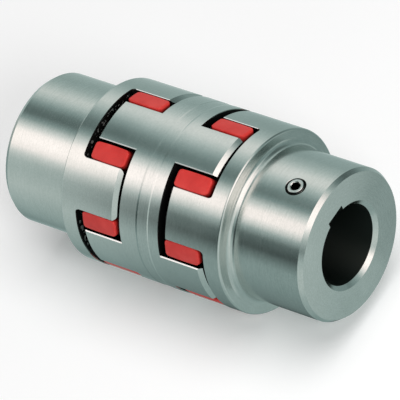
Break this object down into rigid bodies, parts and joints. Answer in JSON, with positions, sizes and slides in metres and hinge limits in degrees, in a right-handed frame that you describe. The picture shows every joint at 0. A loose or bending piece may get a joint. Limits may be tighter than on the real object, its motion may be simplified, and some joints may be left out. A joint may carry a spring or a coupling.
{
  "type": "double-cardanic jaw coupling",
  "caption": "Flexible shaft coupling: keyed, flanged jaw hubs linked through red elastomer stars to a jawed spacer, so the shafts may tilt and run slightly offset.",
  "frame": {"origin": "on the shaft axis, halfway along the coupling, which is the middle of its bounding box", "axes": "+X along the shaft axis towards the right (driven) hub; +Z through the right hub's set screw and keyway; the left hub's set screw and keyway point to -Z; +Y completes a right-handed frame"},
  "size_m": [0.158, 0.08, 0.08],
  "materials": {
    "hub_steel": "fine turned, satin",
    "spacer_steel": "fine turned, satin",
    "polyurethane": "moulded, slightly satin",
    "screw_steel": "satin"
  },
  "bodies": {
    "spacer": {"spacer": "spacer_steel"},
    "left_spider": {"left_spider": "polyurethane"},
    "right_spider": {"right_spider": "polyurethane"},
    "left_hub": {"left_hub": "hub_steel"},
    "right_hub": {"right_hub": "hub_steel"},
    "left_set_screw": {"left_set_screw": "screw_steel"},
    "right_set_screw": {"right_set_screw": "screw_steel"}
  },
  "joints": [
    {"name": "left_spider_tilt", "type": "hinge", "parent": "spacer", "child": "left_spider", "pos_m": [-0.022, 0, 0], "axis": [0, 1, 0], "range_deg": [-1, 1], "stiffness_Nm_per_rad": 200},
    {"name": "left_hub_tilt", "type": "hinge", "parent": "left_spider", "child": "left_hub", "pos_m": [-0.022, 0, 0], "axis": [0, 0, 1], "range_deg": [-1, 1], "stiffness_Nm_per_rad": 200},
    {"name": "right_spider_tilt", "type": "hinge", "parent": "spacer", "child": "right_spider", "pos_m": [0.022, 0, 0], "axis": [0, 1, 0], "range_deg": [-1, 1], "stiffness_Nm_per_rad": 200},
    {"name": "right_hub_tilt", "type": "hinge", "parent": "right_spider", "child": "right_hub", "pos_m": [0.022, 0, 0], "axis": [0, 0, 1], "range_deg": [-1, 1], "stiffness_Nm_per_rad": 200},
    {"name": "left_set_screw_travel", "type": "slide", "parent": "left_hub", "child": "left_set_screw", "axis": [0, 0, 1], "range_m": [-0.0095, 0.0009]},
    {"name": "right_set_screw_travel", "type": "slide", "parent": "right_hub", "child": "right_set_screw", "axis": [0, 0, -1], "range_m": [-0.0095, 0.0009]}
  ]
}
